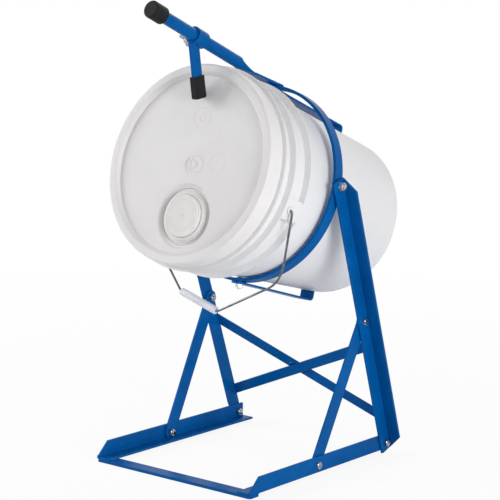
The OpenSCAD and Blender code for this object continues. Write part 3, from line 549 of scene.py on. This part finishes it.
# ---------------------------------------------------------------- lid and spout
LID_TURN = radians(6)
PAIL_DROP = 0.015
PANEL_AHEAD = 0.166
SPOUT_OFF = 0.080
CAP_FACE = 0.0034
CAP_HEIGHT = 8.4 * MM
ROUND_SIDES = 144

# Marks on the lid's panel: across and up from its middle, and radius
GATE = (0.0095, 0.0005)
SIDE_MARK = (0.0525, 0.0065)
TOP_MARK = (0.006, 0.072)
LID_RINGS = ((*GATE, 0.018), (*SIDE_MARK, 0.0145), (*TOP_MARK, 0.0045), (*TOP_MARK, 0.016))

# Turned profiles in millimetres, as radius and height; the crater's stands on the panel, the cap's and collar's on
# the floor of their recess, and the slope's hangs from the panel
CRATER = [(2.0, -0.3), (15.0, -0.3), (14.4, 0.15), (13.4, 1.1), (12.6, 1.45), (11.9, 1.3), (10.6, 0.35), (9.6, 0.1),
          (3.6, 0.1), (3.2, 0.5), (2.6, 1.0), (1.4, 1.15)]
CAP = [(2.0, -4.9), (33.0, -4.9), (33.0, 7.6), (32.7, 8.4), (32.0, 8.9), (31.2, 9.0), (30.5, 9.0), (29.8, 8.7),
       (29.2, 8.4), (28.2, 8.35), (3.0, 8.35)]
COLLAR = [(33.3, -5.9), (35.1, -5.9), (35.1, 0.02), (40.2, 0.02), (40.3, 1.6), (39.9, 2.3), (39.2, 2.5), (37.5, 2.6),
          (37.2, 4.9), (36.7, 5.6), (36.0, 5.8), (34.3, 5.8), (33.3, 5.4)]
RECESS_SLOPE = [(50.5, 0.0), (50.1, -1.0), (49.5, -2.0), (48.6, -2.95), (47.5, -3.75), (46.2, -4.4), (44.8, -4.8),
                (43.0, -5.02), (47.2, -5.3), (51.0, -1.2)]


def lid_point(across, up):
    """A place on the lid's panel: across to the right and up as seen from the front."""
    return cradle_point(across, PANEL_AHEAD, up - PAIL_DROP)


def spout_point(lift):
    """A place on the spout's axis, lifted off the lid's panel."""
    return cradle_point(SPOUT_OFF * sin(LID_TURN), PANEL_AHEAD + lift, -PAIL_DROP - SPOUT_OFF * cos(LID_TURN))


def raised_arc(middle, radius, width, lift, start=0.0, end=2 * pi):
    """A raised line round a middle: a half-round section, width by lift, carried along part of a circle."""
    closed = end - start > 2 * pi - 0.003
    rows = max(16, int(96 * (end - start) / (2 * pi)))
    turn = np.linspace(start, end, rows + (1 if closed else 0))
    section = np.linspace(0, 2 * pi, 12, endpoint=False)
    out = np.cos(turn)[:, None] * SIDE + np.sin(turn)[:, None] * ABOVE
    if closed:
        out[-1] = out[0]
    across = (radius + width / 2 * np.cos(section))[None, :, None] * out[:, None]
    rise = (lift * np.sin(section))[None, :, None] * AHEAD
    return middle + across + rise


def turned_solid(origin, profile, sides=ROUND_SIDES):
    """Patch turned about the pail's direction, with both ends of its profile closed by a flat."""
    return [(revolve(origin, AHEAD, np.array(profile) * MM, sides), True, True)]


def turned_ring(origin, profile):
    """Patch turned about the pail's direction whose profile closes on itself."""
    return [(revolve(origin, AHEAD, np.array(profile + profile[:1]) * MM, ROUND_SIDES), True, False)]


def lid_marks():
    """Raised rings that the tool leaves on the lid, and the low crater of its gate."""
    rings = [(raised_arc(lid_point(across, up), radius, width=0.0009, lift=0.00035), True, False)
             for across, up, radius in LID_RINGS]
    add_surface("lid_mould_rings", rings, lid_moulding, "cradle")
    add_surface("lid_centre_crater", turned_solid(lid_point(*GATE), CRATER, sides=96), lid_moulding, "cradle")


def spout():
    """Cap with a lip round its face, stepped collar, soft slope round their recess, and the marks on the cap."""
    face = spout_point(CAP_FACE)
    seat = face - AHEAD * CAP_HEIGHT
    cap = add_surface("spout_cap_moulding", turned_solid(seat, CAP), spout_moulding, "cap")
    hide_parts("spout_cap")
    collar = add_surface("spout_collar_moulding", turned_ring(seat, COLLAR), spout_moulding, "cradle")
    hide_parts("spout_collar")
    add_surface("spout_recess_slope", turned_ring(spout_point(0.0), RECESS_SLOPE), lid_moulding, "cradle")
    marks = closed_tubes(raised_arc(face, 0.0250, width=0.0010, lift=0.0004, start=start, end=start + 1.75)
                         for start in (0.3, 2.4, 4.5))
    marks += [(raised_arc(face, 0.0205, width=0.0008, lift=0.0003), True, False),
              (raised_arc(face, 0.0022, width=0.0009, lift=0.0004), True, False)]
    add_surface("spout_cap_marks", marks, spout_moulding, "cap")


stand_welds()
bolt_threads()
clamp_welds()
lid_marks()
spout()


# ---------------------------------------------------------------- light, floor and view
LAMP_TARGET = (0, 0, 0.4)
FLOOR_HALF = 8.0
FLOOR_Z = -0.0002
WHITE = (1, 1, 1, 1)
WORLD_STRENGTH = 0.38


def add_area(name, place, target, size, power):
    """A square soft lamp at a place, turned to a target."""
    data = bpy.data.lights.new(name, "AREA")
    data.shape = "RECTANGLE"
    data.size = data.size_y = size
    data.energy = power
    lamp = bpy.data.objects.new(name, data)
    lamp.location = place
    lamp.rotation_mode = "QUATERNION"
    lamp.rotation_quaternion = (Vector(target) - Vector(place)).to_track_quat("-Z", "Y")
    bpy.context.scene.collection.objects.link(lamp)


def add_floor():
    """Plain pale floor, seen by the camera as near white that fades to white with distance; it keeps the shadow."""
    mesh = bpy.data.meshes.new("floor")
    corners = ((-1, -1), (1, -1), (1, 1), (-1, 1))
    mesh.from_pydata([(x * FLOOR_HALF, y * FLOOR_HALF, FLOOR_Z) for x, y in corners], [], [(0, 1, 2, 3)])
    floor = bpy.data.objects.new("floor", mesh)
    bpy.context.scene.collection.objects.link(floor)
    m = bpy.data.materials.new("pale_floor")
    m.use_nodes = True
    t = m.node_tree
    shader = t.nodes["Principled BSDF"]
    shader.inputs["Base Color"].default_value = srgb(250, 250, 250)
    shader.inputs["Roughness"].default_value = 0.9
    shader.inputs["Specular IOR Level"].default_value = 0.1
    lit = add_node(t, "ShaderNodeEmission", Color=WHITE)
    path = add_node(t, "ShaderNodeLightPath")
    share = add_node(t, "ShaderNodeMath", operation="MULTIPLY")
    place = add_node(t, "ShaderNodeNewGeometry")
    away = add_node(t, "ShaderNodeVectorMath", operation="LENGTH")
    wire(t, place, "Position", away, 0)
    fade = add_node(t, "ShaderNodeMapRange", From_Min=0.5, From_Max=2.0, To_Min=0.90, To_Max=1.0)
    wire(t, away, "Value", fade, "Value")
    wire(t, path, "Is Camera Ray", share, 0)
    wire(t, fade, "Result", share, 1)
    mix = add_node(t, "ShaderNodeMixShader")
    wire(t, share, "Value", mix, 0)
    wire(t, shader, "BSDF", mix, 1)
    wire(t, lit, "Emission", mix, 2)
    wire(t, mix, 0, t.nodes["Material Output"], "Surface")
    mesh.materials.append(m)


def add_world():
    """Soft even surround, plain white where the camera, a gloss or a see-through ray looks at it."""
    world = bpy.data.worlds.new("studio")
    bpy.context.scene.world = world
    world.use_nodes = True
    t = world.node_tree
    back = t.nodes["Background"]
    back.inputs["Color"].default_value = WHITE
    back.inputs["Strength"].default_value = WORLD_STRENGTH
    white = add_node(t, "ShaderNodeBackground", Color=WHITE, Strength=1.0)
    path = add_node(t, "ShaderNodeLightPath")
    gloss_or_glass = add_node(t, "ShaderNodeMath", operation="MAXIMUM")
    wire(t, path, "Is Glossy Ray", gloss_or_glass, 0)
    wire(t, path, "Is Transmission Ray", gloss_or_glass, 1)
    seen = add_node(t, "ShaderNodeMath", operation="MAXIMUM")
    wire(t, path, "Is Camera Ray", seen, 0)
    wire(t, gloss_or_glass, "Value", seen, 1)
    mix = add_node(t, "ShaderNodeMixShader")
    wire(t, seen, "Value", mix, 0)
    wire(t, back, "Background", mix, 1)
    wire(t, white, "Background", mix, 2)
    wire(t, mix, 0, t.nodes["World Output"], "Surface")


add_world()
add_floor()
add_area("right", (2.3, -0.7, 0.7), LAMP_TARGET, size=1.0, power=29)
add_area("left", (-2.6, -1.2, 1.3), LAMP_TARGET, size=1.5, power=54)
add_area("back", (-0.6, 2.2, 2.2), (0, 0, 0.5), size=1.2, power=12)
bpy.context.scene.view_settings.view_transform = "Standard"
